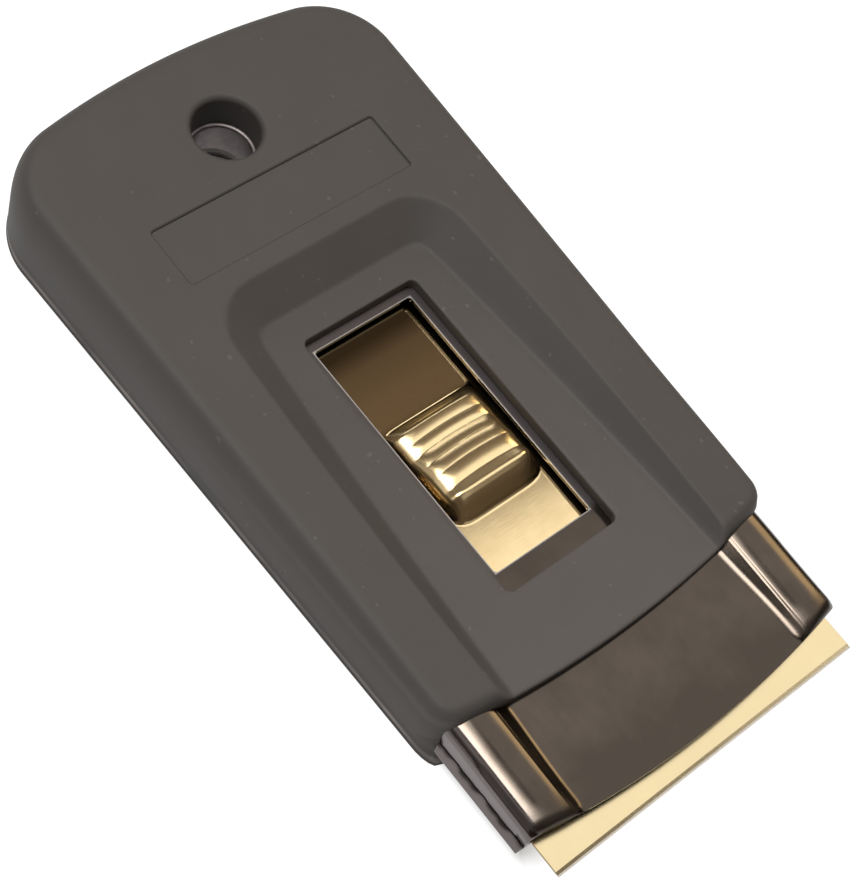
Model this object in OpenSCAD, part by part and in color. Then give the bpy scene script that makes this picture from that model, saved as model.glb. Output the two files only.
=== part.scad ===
// Retractable single-edge razor scraper with a rubber grip sleeve.
// It lies on its back: +X points to the blade, +Z out of the thumb face,
// and the origin is the middle of its footprint.

/* [Blade] */
// Length of the blade along its edge
blade_l = 38.1; // [30:0.1:50]
// Depth of the blade from its edge to its back
blade_d = 19.05; // [16:0.05:24]
// Thickness of the blade steel
blade_t = 0.23; // [0.2:0.01:0.4]
// Width of the ground bevel on each face
bevel_w = 0.5; // [0.3:0.1:2]
// Depth of the notch cut into each end of the blade
notch_d = 1.6; // [0.8:0.1:2.5]
// Width of those notches
notch_w = 2.2; // [1:0.1:3]
// Thickness of the folded spine strip over both faces of the blade
spine_h = 1.2; // [0.8:0.05:1.8]
// Depth of the folded spine strip
spine_d = 5; // [3:0.1:6.5]
// How far the middle of the edge stands out of the nose at rest
blade_out = 2.05; // [0.5:0.05:4]

/* [Case] */
// Thickness of the sheet of both case shells
sheet_t = 0.5; // [0.4:0.05:0.7]
// Side clearance between the blade's ends and the case walls
side_gap = 0.25; // [0.15:0.05:0.6]
// Height clearance above and below what slides in the case
slide_gap = 0.2; // [0.12:0.02:0.5]
// Distance from the sleeve's rear end to the rear end of the case
case_rear = 5.9; // [5:0.1:6]
// How far the middle of the nose stands out of the sleeve
nose_out = 11.5; // [8:0.1:16]
// How far the middle of the nose leads its corners
nose_bulge = 1.8; // [0.5:0.1:3]
// Height of the side ridges above the middle panel
ridge_rise = 1.15; // [0.6:0.05:1.6]
// Height of the side ridges just behind the nose
ridge_nose_rise = 0.8; // [0.4:0.05:1.1]
// Width of a ridge from its foot to the side wall
ridge_w = 5.7; // [5:0.1:8]
// How much the foot of a ridge moves outwards towards the nose
ridge_flare = 0.9; // [0:0.1:1.4]
// Run of the ridge's inner slope
ridge_slope = 1.6; // [1.5:0.1:2.5]
// Radius of the ridge's outer shoulder
ridge_r = 1.4; // [1:0.1:1.8]
// Height of the crimped lip of the back shell
crimp_h = 1.2; // [0.9:0.1:1.6]

/* [Sleeve] */
// Length of the sleeve along its middle
sleeve_l = 72; // [66:0.1:80]
// Height of the sleeve at the rear
sleeve_h = 10; // [9.4:0.1:12]
// Height of the raised land at the front edge
land_front_h = 7.9; // [7.4:0.1:8.4]
// Share of the land's fall that is bowed towards the front
fall_bow = 0.47; // [0:0.01:0.8]
// Rubber beside the case at the rear
wall_rear = 1.85; // [1:0.05:3]
// Rubber beside the case at the front
wall_front = 0.7; // [0.6:0.1:2]
// Rubber under the case
back_t = 2.1; // [1.6:0.1:3]
// Radius of the rear corners seen from above
rear_corner_r = 8.5; // [5:0.5:10]
// How far the rear end bulges
rear_bulge = 2.9; // [1:0.1:4]
// Radius of the front corners seen from above
front_corner_r = 2.8; // [2.5:0.1:5]
// How far the middle of the front edge leads its corners
front_bulge = 1.9; // [0.5:0.1:3]
// Radius of the shoulders along the sides
shoulder_r = 2.2; // [1.6:0.1:2.5]
// Radius of the front edge
front_edge_r = 1.1; // [0.6:0.1:1.6]
// Height of the base band below the parting step
band_h = 1.3; // [0.8:0.1:1.8]
// Depth of the parting step
band_step = 0.25; // [0.1:0.05:0.5]
// Radius of the edge round the back
back_edge_r = 0.6; // [0.3:0.1:0.8]
// Fit of the rubber round the metal
sleeve_fit = 0.05; // [0.02:0.01:0.2]

/* [Thumb recess] */
// Rubber left over the middle panel
recess_floor_t = 1.3; // [0.9:0.1:1.8]
// Distance from the sleeve's side to the recess floor at its rear corners
recess_rear_side = 11.85; // [10:0.05:13]
// Distance from the sleeve's side to the recess floor at the front
recess_front_side = 7.85; // [6.5:0.05:9.5]
// Sideways run of the recess walls for each millimetre of height
recess_draft = 1.25; // [0.8:0.05:1.6]
// Radius of the rear corners of the recess floor
recess_corner_r = 1.9; // [1:0.1:4]
// Floor behind the sleeve's window
recess_margin = 3.2; // [2:0.1:5]
// Rubber window past the metal window at the rear
frame_rear = 1; // [0.5:0.1:2]
// Rubber window past the metal window at the front
frame_front = 2.5; // [0.5:0.1:4]
// Rubber window past the metal window at each side
frame_side = 0.9; // [0.5:0.1:2]
// Corner radius of the rubber window
frame_corner_r = 0.7; // [0.3:0.1:1.5]
// Corner radius of the metal window
window_corner_r = 0.4; // [0.2:0.1:1]

/* [Label panel] */
// Length of the bare sunken panel along the sleeve
label_l = 6.5; // [4:0.5:8]
// Distance from the sleeve's side to the panel
label_side = 8.8; // [7:0.05:12]
// Depth of the sunken panel
label_depth = 0.3; // [0.1:0.05:0.6]
// Distance from the hang hole's middle to the panel
label_setback = 6; // [5.5:0.1:7]

/* [Hang hole] */
// Distance from the sleeve's rear end to the middle of the hole
hang_setback = 10.7; // [10:0.1:12]
// Bore of the eyelet
eyelet_bore = 6.2; // [4:0.1:7]
// Wall of the eyelet's tube
eyelet_wall = 0.35; // [0.2:0.05:0.6]
// Diameter of the eyelet's flanges
eyelet_flange = 9.4; // [8.6:0.1:10]
// Thickness of the eyelet's flanges
flange_t = 0.4; // [0.2:0.05:0.6]
// Rubber hole past the eyelet's bore, on the radius
hole_margin = 0.35; // [0.1:0.05:0.6]
// Rounded rim of the rubber hole
hole_rim_r = 0.5; // [0.2:0.1:1]

/* [Blade carrier] */
// Thickness of the carrier's sheet
carrier_t = 0.5; // [0.4:0.05:0.7]
// Clearance between the carrier and the blade's spine
seat_gap = 0.1; // [0.05:0.01:0.2]
// Clearance of the carrier inside the length of the blade
carrier_inset = 0.1; // [0:0.05:0.5]
// Length of the carrier plate behind the thumb dome
carrier_tail = 17; // [14:0.5:18]
// Length of the thumb dome
dome_l = 12.1; // [10:0.1:14]
// Width of the thumb dome
dome_w = 11.2; // [8:0.1:11.4]
// Height of the thumb dome above the plate
dome_h = 2.2; // [1.6:0.1:2.6]
// Cross ribs on the dome
dome_ribs = 6; // [4:1:8]
// Height of those ribs
rib_h = 0.28; // [0.1:0.02:0.4]
// Distance from the dome's front to the blade's back
dome_setback = 10.9; // [9:0.1:12]
// Width of the metal window beyond the dome at each side
window_side = 0.4; // [0.3:0.1:1.5]
// Room for the dome to move back from rest
travel_back = 10; // [8:0.1:12]
// Room for the dome to move forward from rest
travel_out = 5.2; // [3:0.1:6]
// Width of each lug that hooks over the spine
lug_w = 5; // [3:0.5:7]
// Distance of the lugs from the middle
lug_y = 7; // [4:0.5:9]

/* [Detent spring] */
// Thickness of the leaf spring
leaf_t = 0.25; // [0.15:0.05:0.3]
// Width of the leaf spring
leaf_w = 9; // [7:0.5:12]
// Length of the leaf spring
leaf_l = 14; // [11:0.5:15]
// Length of the flat pad that is riveted
pad_l = 4; // [3:0.5:5]
// Diameter of the rivets' shanks
rivet_d = 1.4; // [1:0.1:1.8]
// Diameter of the rivets' heads
rivet_head_d = 2.4; // [2:0.1:3]
// Height of the rivets' heads
rivet_head_h = 0.35; // [0.2:0.05:0.4]
// Distance between the rivets
rivet_pitch = 5; // [4:0.5:7]

/* [Hidden] */
$fn = 64;
eps = 0.01;
far = 400;

// Places along X
overall_l = sleeve_l + nose_out + blade_out;
x_rear = -overall_l / 2;
x_front = x_rear + sleeve_l;
x_nose = x_front + nose_out;
x_edge = x_nose + blade_out;
x_spine = x_edge - blade_d;
x_spine_front = x_spine + spine_d;
x_dome_front = x_spine - dome_setback;
x_dome = x_dome_front - dome_l;
x_window = x_dome - travel_back;
x_window_front = x_dome_front + travel_out;
x_hang = x_rear + hang_setback;
x_label = x_hang + label_setback;
x_case = x_rear + case_rear;
x_tail = x_dome - carrier_tail;
x_lug = x_spine_front + seat_gap;
x_plate_end = x_lug + carrier_t;

// Levels
z_floor = back_t + sheet_t;
z_spine = z_floor + slide_gap;
z_blade = z_spine + spine_h / 2;
z_step = z_spine + spine_h + seat_gap;
z_panel = z_step + carrier_t + slide_gap;
z_panel_top = z_panel + sheet_t;
z_plate = z_step - carrier_t;
z_plate_top = z_step;
z_recess = z_panel_top + recess_floor_t;

// Half widths
case_in = blade_l / 2 + side_gap;
case_out = case_in + sheet_t;
crimp_in = case_out + sleeve_fit;
crimp_out = crimp_in + sheet_t;
rear_hw = crimp_out + wall_rear;
front_hw = crimp_out + wall_front;
carrier_hw = blade_l / 2 - carrier_inset;
window_hw = dome_w / 2 + window_side;
recess_rear_hw = rear_hw - recess_rear_side;
recess_front_hw = front_hw - recess_front_side;
label_hw = rear_hw - label_side;

// Radii
eyelet_r = eyelet_bore / 2;
tube_r = eyelet_r + eyelet_wall;
hole_r = eyelet_r + hole_margin;
bend_r = 0.35;
sink = 0.1;
nose_arc_r = (case_out * case_out + nose_bulge * nose_bulge) / (2 * nose_bulge);

// Profile of the dome along its middle, in shares of its height and length
dome_step_h = 0.42;
dome_step_l = 0.06;
dome_swell_end = 0.64;
dome_nose_start = 0.72;
dome_nose_power = 2.4;
rib_start = 0.08;
rib_end = 0.78;

function unit(v) = v / norm(v);
function left_of(v) = [-v[1], v[0]];
function clamp01(t) = max(0, min(1, t));
function ease(t) = clamp01(t) * clamp01(t) * (3 - 2 * clamp01(t));
function mix(a, b, t) = a + (b - a) * t;
function reversed(list) = [for (i = [len(list) - 1:-1:0]) list[i]];

// Arc of radius r that rounds the corner b of the path a, b, c
function corner_arc(a, b, c, r, n) =
    let (
        u = unit(a - b),
        v = unit(c - b),
        half = acos(u * v) / 2,
        centre = b + unit(u + v) * r / sin(half),
        from = b + u * r / tan(half) - centre,
        to = b + v * r / tan(half) - centre,
        turn = 180 - 2 * half
    )
    [for (i = [0:n]) centre + (from * sin(turn * (1 - i / n)) + to * sin(turn * i / n)) / sin(turn)];

// Path through the points p with its inner corners rounded by the radii r
function rounded_path(p, r, n = 5) = concat(
    [p[0]],
    [for (i = [1:len(p) - 2]) each corner_arc(p[i - 1], p[i], p[i + 1], r[i - 1], n)],
    [p[len(p) - 1]]
);

// Path moved to its left by t, with mitred corners
function moved_path(p, t) = [
    for (i = [0:len(p) - 1])
        let (
            a = left_of(unit(i == 0 ? p[1] - p[0] : p[i] - p[i - 1])),
            b = i == len(p) - 1 ? a : left_of(unit(p[i + 1] - p[i]))
        )
        p[i] + t * (a + b) / (1 + a * b)
];

// Closed section of a sheet of thickness t on the left of a path
function sheet_section(p, t) = concat(p, reversed(moved_path(p, t)));

// Solid through rings of equally many points, each anticlockwise seen from the last ring's side;
// cap lists the faces that close an end, clockwise from there
module loft(rings, cap = undef) {
    n = len(rings[0]);
    m = len(rings);
    top = (m - 1) * n;
    sides = [
        for (i = [0:m - 2], j = [0:n - 1])
            let (k = (j + 1) % n, a = i * n, b = a + n)
            each [[a + j, b + j, b + k], [a + j, b + k, a + k]]
    ];
    end = is_undef(cap) ? [[for (j = [n - 1:-1:0]) j]] : cap;
    polyhedron(
        points = [for (ring = rings) each ring],
        faces = concat([for (f = end) reversed(f)], [for (f = end) [for (j = f) top + j]], sides),
        convexity = 6
    );
}

// Rectangle from x0 to x1 with rounded corners, across the middle
module slot_area(x0, x1, hw, r) {
    translate([x0 + r, -hw])
        square([x1 - x0 - 2 * r, 2 * hw]);
    translate([x0, -hw + r])
        square([x1 - x0, 2 * hw - 2 * r]);
    for (x = [x0 + r, x1 - r], y = [-hw + r, hw - r])
        translate([x, y])
            circle(r, $fn = 32);
}

// Section in the YZ plane, pulled along X
module pull_x(x0, x1, section) {
    translate([x0, 0, 0])
        rotate([90, 0, 90])
            linear_extrude(x1 - x0)
                polygon(section);
}

// Section in the XZ plane, pulled across Y about the middle
module pull_y(width, section) {
    translate([0, width / 2, 0])
        rotate([90, 0, 0])
            linear_extrude(width)
                polygon(section);
}

// Everything behind the nose's arc
module nose_plan() {
    translate([x_nose - nose_arc_r, 0, -eps])
        cylinder(r = nose_arc_r, h = sleeve_h, $fn = 256);
}

// Half of the upper case's inner surface: panel, ridge and side wall
function case_half(rise, flare, wall_z) =
    let (
        foot = case_in - ridge_w + flare,
        top = z_panel + rise,
        brow = case_in - ridge_w + ridge_slope
    )
    rounded_path(
        [[0, z_panel], [foot, z_panel], [brow, top], [case_in, top], [case_in, wall_z]],
        [bend_r + sheet_t, bend_r, ridge_r - sheet_t]
    );

// Whole inner surface of the upper case, from the left wall to the right one
function case_path(rise, flare, wall_z) =
    let (half = case_half(rise, flare, wall_z))
    concat(reversed([for (i = [1:len(half) - 1]) [-half[i][0], half[i][1]]]), half);

// Section of the space that the case takes up in the sleeve
function cavity_section() =
    let (roof = moved_path(case_path(ridge_rise, 0, back_t), sheet_t + sleeve_fit))
    concat(
        [[-crimp_out - sleeve_fit, back_t + crimp_h + sleeve_fit]],
        [[-crimp_out - sleeve_fit, back_t - sleeve_fit], [crimp_out + sleeve_fit, back_t - sleeve_fit]],
        [[crimp_out + sleeve_fit, back_t + crimp_h + sleeve_fit]],
        [[case_out + sleeve_fit, back_t + crimp_h + sleeve_fit]],
        reversed([for (p = roof) if (p[1] > back_t + crimp_h + 2 * sleeve_fit) p]),
        [[-case_out - sleeve_fit, back_t + crimp_h + sleeve_fit]]
    );

// Height of the sleeve's land above the back
function land_z(x) =
    let (t = (x - x_rear) / sleeve_l)
    mix(sleeve_h, land_front_h, t * mix(1, t, fall_bow));

// Angle at which the land falls towards the front
function land_tilt(x) = atan((land_z(x - 1) - land_z(x + 1)) / 2);

// Half of the sleeve's outline from the rear middle to the front middle:
// each entry is a point, its inward direction and its share of the shoulder radius
function sleeve_half() =
    let (
        rear_r = (rear_hw * rear_hw + rear_bulge * rear_bulge) / (2 * rear_bulge),
        front_r = (front_hw * front_hw + front_bulge * front_bulge) / (2 * front_bulge),
        rear_y = rear_hw - rear_corner_r,
        front_y = front_hw - front_corner_r,
        rear_c = x_rear + rear_r,
        front_c = x_front - front_r,
        corner_x = rear_c - sqrt(pow(rear_r - rear_corner_r, 2) - rear_y * rear_y),
        lip_x = front_c + sqrt(pow(front_r - front_corner_r, 2) - front_y * front_y),
        rear_a = asin(rear_y / (rear_r - rear_corner_r)),
        front_a = asin(front_y / (front_r - front_corner_r)),
        lip = front_edge_r / shoulder_r
    )
    concat(
        [for (i = [0:4]) let (a = rear_a * i / 5)
            [[rear_c - rear_r * cos(a), rear_r * sin(a)], [cos(a), -sin(a)], 1]],
        [for (i = [0:8]) let (a = mix(rear_a, 90, i / 8))
            [[corner_x - rear_corner_r * cos(a), rear_y + rear_corner_r * sin(a)], [cos(a), -sin(a)], 1]],
        [for (i = [1:15]) let (t = i / 16)
            [[mix(corner_x, lip_x, t), mix(rear_hw, front_hw, t)], [0, -1], 1]],
        [for (i = [0:6]) let (a = mix(90, front_a, i / 6))
            [[lip_x + front_corner_r * cos(a), front_y + front_corner_r * sin(a)],
             [-cos(a), -sin(a)], mix(1, lip, i / 6)]],
        [for (i = [1:5]) let (a = front_a * (1 - i / 5))
            [[front_c + front_r * cos(a), front_r * sin(a)], [-cos(a), -sin(a)], lip]]
    );

// Ring round the sleeve: inset and drop below the land are shares of the shoulder,
// and a ring with a height of its own lies level
function sleeve_ring(half, inset, step, drop, level = undef) =
    let (
        side = [
            for (h = half)
                let (
                    r = shoulder_r * h[2],
                    p = h[0] + h[1] * (step + inset * (is_undef(level) ? r : 1))
                )
                [p[0], p[1], is_undef(level) ? land_z(p[0]) - drop * r : level]
        ],
        last = len(side) - 1
    )
    concat(
        [for (i = [0:last]) [side[i][0], -side[i][1], side[i][2]]],
        [for (i = [last - 1:-1:1]) side[i]]
    );

module sleeve_body() {
    half = sleeve_half();
    n = 2 * len(half) - 2;
    rings = concat(
        [
            sleeve_ring(half, back_edge_r, 0, 0, 0),
            sleeve_ring(half, back_edge_r * 0.3, 0, 0, back_edge_r * 0.3),
            sleeve_ring(half, 0, 0, 0, back_edge_r),
            sleeve_ring(half, 0, 0, 0, band_h),
            sleeve_ring(half, 0, band_step, 0, band_h + band_step / 2)
        ],
        [for (a = [0:15:90]) sleeve_ring(half, 1 - cos(a), band_step, 1 - sin(a))]
    );
    cap = concat(
        [[n - 1, 1, 0]],
        [for (j = [1:len(half) - 3]) [n - j, n - j - 1, j + 1, j]],
        [[n / 2 + 1, n / 2, n / 2 - 1]]
    );
    loft(rings, cap);
}

// Tub with sloping walls, open towards the front
module thumb_recess() {
    rise = sleeve_h - z_recess + 1;
    rear_x = x_window - frame_rear - recess_margin + recess_corner_r;
    front_x = x_front + front_bulge + recess_corner_r;
    hull()
        for (s = [-1, 1], end = [[rear_x, recess_rear_hw], [front_x, recess_front_hw]])
            translate([end[0], s * (end[1] - recess_corner_r), z_recess])
                cylinder(r1 = recess_corner_r, r2 = recess_corner_r + recess_draft * rise,
                         h = rise, $fn = 32);
}

// Ring of material that rounds the rim of a hole of radius r, growing upwards
module rim_cut(r) {
    rotate_extrude()
        difference() {
            square([r + hole_rim_r, hole_rim_r + 1]);
            translate([r + hole_rim_r, 0])
                circle(hole_rim_r);
        }
}

// Soft rubber grip moulded over the case
module grip_sleeve() {
    color([0.34, 0.33, 0.31])
        difference() {
            sleeve_body();
            thumb_recess();
            pull_x(x_case - sleeve_fit, x_front + far, cavity_section());
            translate([0, 0, z_panel_top])
                linear_extrude(sleeve_h)
                    slot_area(x_window - frame_rear, x_window_front + frame_front,
                              window_hw + frame_side, frame_corner_r);
            pull_y(2 * label_hw, [
                [x_label, land_z(x_label) - label_depth],
                [x_label + label_l, land_z(x_label + label_l) - label_depth],
                [x_label + label_l, sleeve_h + 1], [x_label, sleeve_h + 1]
            ]);
            translate([x_hang, 0, -eps])
                cylinder(r = hole_r, h = sleeve_h + 1);
            translate([x_hang, 0, back_t - flange_t - sleeve_fit])
                cylinder(d = eyelet_flange + 2 * sleeve_fit,
                         h = z_panel_top - back_t + 2 * (flange_t + sleeve_fit));
            translate([x_hang, 0, land_z(x_hang) - hole_rim_r])
                rotate([0, land_tilt(x_hang), 0])
                    rim_cut(hole_r);
            translate([x_hang, 0, hole_rim_r])
                mirror([0, 0, 1])
                    rim_cut(hole_r);
        }
}

// Where the nose's arc lies at a distance y from the middle
function nose_x(y) = x_nose - nose_arc_r + sqrt(nose_arc_r * nose_arc_r - y * y);

// Ring of the top shell at a share k of the way from its rear end to the nose's arc
function case_ring(k, rise, flare) = [
    for (p = sheet_section(case_path(rise, flare, z_floor + bend_r), sheet_t))
        [mix(x_case, nose_x(p[0]), k), p[0], p[1]]
];

// Stamped top shell: sunken middle panel, two side ridges that round off at the nose, and the side walls
module case_upper() {
    length = x_nose - x_case;
    mouth_l = 1.6 * ridge_nose_rise;
    mouth_rise = 0.12;
    rings = concat(
        [case_ring(0, ridge_rise, 0), case_ring((x_front - front_bulge - x_case) / length, ridge_rise, 0)],
        [for (a = [0:15:90])
            case_ring(1 - mouth_l / length * (1 - sin(a)),
                      mix(mouth_rise, ridge_nose_rise, cos(a)), ridge_flare)]
    );
    n = len(rings[0]);
    color([0.24, 0.22, 0.22])
        difference() {
            loft(rings, [for (j = [0:n / 2 - 2]) [n - 1 - j, n - 2 - j, j + 1, j]]);
            translate([0, 0, z_panel - 1])
                linear_extrude(sheet_t + 2)
                    slot_area(x_window, x_window_front, window_hw, window_corner_r);
            translate([x_hang, 0, z_panel - 1])
                cylinder(r = tube_r, h = sheet_t + 2);
        }
}

// Flat back shell whose long edges are crimped up round the top shell's walls
module case_lower() {
    lip = back_t + crimp_h;
    path = rounded_path(
        [[crimp_out, lip], [crimp_out, back_t], [-crimp_out, back_t], [-crimp_out, lip]],
        [bend_r + sheet_t, bend_r + sheet_t]
    );
    color([0.22, 0.2, 0.2])
        difference() {
            intersection() {
                pull_x(x_case, x_nose + 1, sheet_section(reversed(path), sheet_t));
                nose_plan();
            }
            translate([x_hang, 0, back_t - 1])
                cylinder(r = tube_r, h = sheet_t + 2);
        }
}

// Tubular eyelet that clinches both shells and lines the hang hole
module hang_eyelet() {
    z0 = back_t - flange_t;
    z1 = z_panel_top + flange_t;
    flange_r = eyelet_flange / 2;
    color([0.3, 0.28, 0.29])
        translate([x_hang, 0, 0])
            rotate_extrude()
                polygon([
                    [eyelet_r, z0], [flange_r, z0], [flange_r, back_t], [tube_r, back_t],
                    [tube_r, z_panel_top], [flange_r, z_panel_top], [flange_r, z1], [eyelet_r, z1]
                ]);
}

// Height of the dome's crown at a share t of its length, ribs apart
function dome_crown(t) =
    let (
        rear_step = dome_step_h * ease(t / dome_step_l),
        swell = (1 - dome_step_h) * ease((t - dome_step_l) / (dome_swell_end - dome_step_l)),
        front = clamp01((t - dome_nose_start) / (1 - dome_nose_start)),
        nose = sqrt(max(0, 1 - pow(front, dome_nose_power)))
    )
    (rear_step + swell) * nose;

// Ribs across the dome, fading out towards its front
function dome_rib(t) =
    let (share = clamp01((t - rib_start) / (rib_end - rib_start)))
    share <= 0 || share >= 1 ? 0 : rib_h * (0.5 - 0.5 * cos(360 * dome_ribs * share));

// Arched section of the dome, anticlockwise seen from the front; its foot lies inside the plate
function dome_ring(x, height) =
    let (foot = z_plate + carrier_t / 2, hw = dome_w / 2)
    concat(
        [[x, -hw, foot], [x, hw, foot]],
        [for (a = [0:15:180]) let (c = cos(a), s = sin(a))
            [x, hw * sign(c) * pow(abs(c), 0.6), z_plate_top - sink + (height + sink) * pow(s, 0.75)]]
    );

// Brass slide: plate, step over the spine, side runners, lugs and the ribbed thumb dome
module blade_carrier() {
    steps = 42;
    riser = x_spine - seat_gap;
    plate = rounded_path(
        [[x_tail, z_plate], [riser - carrier_t, z_plate], [riser, z_step], [x_plate_end, z_step]],
        [bend_r + carrier_t, bend_r]
    );
    runner_top = z_panel + ridge_rise - 2 * slide_gap;
    hook_z = z_blade + blade_t / 2 + seat_gap;
    crown_h = dome_h - rib_h;
    rings = [
        for (i = [0:steps])
            let (t = i / steps)
            dome_ring(mix(x_dome, x_dome_front, t),
                      crown_h * dome_crown(t) + dome_rib(t) - (i % steps == 0 ? sink / 2 : 0))
    ];
    color([0.78, 0.62, 0.32])
        difference() {
            union() {
                pull_y(2 * carrier_hw, sheet_section(plate, carrier_t));
                for (s = [-1, 1]) {
                    translate([x_tail, s * (carrier_hw - carrier_t / 2) - carrier_t / 2, z_plate])
                        cube([riser - carrier_t - x_tail, carrier_t, runner_top - z_plate]);
                    translate([x_lug, s * (lug_y + lug_w / 2) - lug_w / 2, hook_z])
                        cube([carrier_t, lug_w, z_step + carrier_t - hook_z]);
                }
                loft(rings);
            }
            dome_hollow(crown_h);
            rivet_holes();
        }
}

// Space under the dome that the stamping leaves
module dome_hollow(crown_h) {
    x0 = x_dome + 2 * carrier_t;
    x1 = x_dome_front - 3 * carrier_t;
    pull_y(dome_w - 5 * carrier_t, [
        [x0, z_plate - 1], [x1, z_plate - 1], [x1, z_plate_top],
        [x1 - carrier_t, z_plate_top + crown_h - 2 * carrier_t],
        [mix(x0, x1, 0.5), z_plate_top + crown_h - 2 * carrier_t], [x0, z_plate_top]
    ]);
}

// Holes for both rivets
module rivet_holes() {
    for (s = [-1, 1])
        translate([x_tail + pad_l / 2, s * rivet_pitch / 2, 0])
            cylinder(d = rivet_d, h = far, center = true);
}

// Bowed leaf that presses the slide against the case, so that it stays where it is put
module detent_spring() {
    low = z_floor + slide_gap / 2 + leaf_t;
    high = z_plate;
    path = rounded_path(
        [[x_tail, high], [x_tail + pad_l, high], [x_tail + (pad_l + leaf_l) / 2, low],
         [x_tail + leaf_l, mix(low, high, 0.6)]],
        [2, 4]
    );
    color([0.62, 0.62, 0.64])
        difference() {
            pull_y(leaf_w, sheet_section(path, -leaf_t));
            rivet_holes();
        }
}

// Rivet that holds the leaf spring under the carrier plate
module spring_rivet(side) {
    tail_z = z_plate - leaf_t;
    color([0.7, 0.68, 0.62])
        translate([x_tail + pad_l / 2, side * rivet_pitch / 2, 0]) {
            translate([0, 0, tail_z])
                cylinder(d = rivet_d, h = z_plate_top - tail_z);
            translate([0, 0, z_plate_top])
                cylinder(d = rivet_head_d, h = rivet_head_h);
            translate([0, 0, tail_z - rivet_head_h / 2])
                cylinder(d = rivet_head_d, h = rivet_head_h / 2);
        }
}

module rivet_left() {
    spring_rivet(1);
}

module rivet_right() {
    spring_rivet(-1);
}

// Gold-coated single-edge blade
module razor_blade() {
    t = blade_t / 2;
    x_back = x_spine + spine_h / 2;
    color([0.85, 0.74, 0.46])
        difference() {
            pull_y(blade_l, [
                [x_back, z_blade - t], [x_edge - bevel_w, z_blade - t], [x_edge, z_blade],
                [x_edge - bevel_w, z_blade + t], [x_back, z_blade + t]
            ]);
            for (s = [-1, 1])
                translate([x_spine_front + seat_gap, s * blade_l / 2 - notch_d, z_blade - 1])
                    cube([notch_w, 2 * notch_d, 2]);
        }
}

// Folded strip that stiffens the back of the blade
module blade_spine() {
    r = spine_h / 2;
    t = blade_t / 2;
    color([0.7, 0.66, 0.55])
        difference() {
            union() {
                translate([x_spine + r, 0, z_blade])
                    rotate([90, 0, 0])
                        cylinder(r = r, h = blade_l, center = true);
                translate([x_spine + r, -blade_l / 2, z_blade - r])
                    cube([spine_d - r, blade_l, spine_h]);
            }
            translate([x_spine + r, -blade_l, z_blade - t])
                cube([spine_d, 2 * blade_l, blade_t]);
        }
}

grip_sleeve();
case_upper();
case_lower();
hang_eyelet();
blade_carrier();
detent_spring();
rivet_left();
rivet_right();
razor_blade();
blade_spine();
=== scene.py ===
"""The looks of a retractable razor blade scraper, modelled over its packed CAD frame."""

import math
from types import SimpleNamespace

import bpy
import numpy as np
from bpy.props import FloatProperty, FloatVectorProperty, PointerProperty
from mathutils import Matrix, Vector


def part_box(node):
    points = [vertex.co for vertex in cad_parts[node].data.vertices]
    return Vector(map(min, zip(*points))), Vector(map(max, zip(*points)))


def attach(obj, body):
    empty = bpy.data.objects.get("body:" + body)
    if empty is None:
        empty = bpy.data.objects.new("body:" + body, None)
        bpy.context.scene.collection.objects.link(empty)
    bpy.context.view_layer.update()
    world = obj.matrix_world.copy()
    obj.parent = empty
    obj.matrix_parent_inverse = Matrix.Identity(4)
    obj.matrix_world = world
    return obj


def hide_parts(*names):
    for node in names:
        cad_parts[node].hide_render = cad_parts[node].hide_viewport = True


bl_info = {
    "name": "Razor Blade Scraper",
    "version": (1, 0, 0),
    "blender": (4, 5, 0),
    "location": "3D View > Sidebar > Scraper",
    "description": "Models a rubber-sleeved razor blade scraper piece by piece",
    "category": "Add Mesh",
}

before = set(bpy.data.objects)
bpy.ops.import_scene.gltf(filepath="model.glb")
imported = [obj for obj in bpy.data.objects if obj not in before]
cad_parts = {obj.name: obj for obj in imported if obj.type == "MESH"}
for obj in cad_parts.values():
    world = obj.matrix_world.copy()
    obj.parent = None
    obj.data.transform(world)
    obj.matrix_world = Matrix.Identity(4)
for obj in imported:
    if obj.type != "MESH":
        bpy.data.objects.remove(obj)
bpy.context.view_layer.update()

MM = 0.001
# Edges that turn by less are shaded smoothly, and those that turn by more than the second are rounded.
SMOOTH_ANGLE, ROUND_ANGLE = math.radians(35), math.radians(50)
# Steps in which a corner of a section is rounded.
ROUND_STEPS = 8
# How far each side of the thumb recess moves outwards for each millimetre forwards.
RECESS_FLARE = 0.0665
# Sideways run of the recess's wall for each millimetre of height, at its rear and at its front.
RECESS_DRAFTS = (1.33, 1.1)
# Rear end, front end and half width of the grid inside the sleeve's shoulders.
GRID_REAR, GRID_FRONT, GRID_SIDE = -36.5, 24.5, 16.2
# How far above the rubber's surface the rounded rim of a tool ends.
RIM_LIFT = 0.012
# Where the shells start to follow the nose's arc, and how far behind the nose they follow it fully.
NOSE_START, NOSE_MARGIN = 22, 2


def box_mm(node):
    """Lowest and highest corner of a CAD node, in millimetres."""
    return [np.array(corner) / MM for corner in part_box(node)]


SLEEVE_LO, SLEEVE_HI = box_mm("grip_sleeve")
CASE_LO, CASE_HI = box_mm("case_upper")
BACK_LO, BACK_HI = box_mm("case_lower")
EYELET_LO, EYELET_HI = box_mm("hang_eyelet")
SLIDE_LO, SLIDE_HI = box_mm("blade_carrier")
BLADE_HI = box_mm("razor_blade")[1]
HANG_X = (EYELET_LO[0] + EYELET_HI[0]) / 2


def length(name, description, millimetres):
    """A length that a user may change; its default is given in millimetres."""
    return FloatProperty(
        name=name, description=description, default=millimetres * MM, precision=5, unit="LENGTH"
    )


def share(name, description, value):
    """A factor from 0 to 1."""
    return FloatProperty(name=name, description=description, default=value, min=0, max=1, subtype="FACTOR")


def tint(name, description, colour):
    """A colour in linear light."""
    return FloatVectorProperty(
        name=name, description=description, default=colour, size=3, min=0, max=1, subtype="COLOR"
    )


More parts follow.
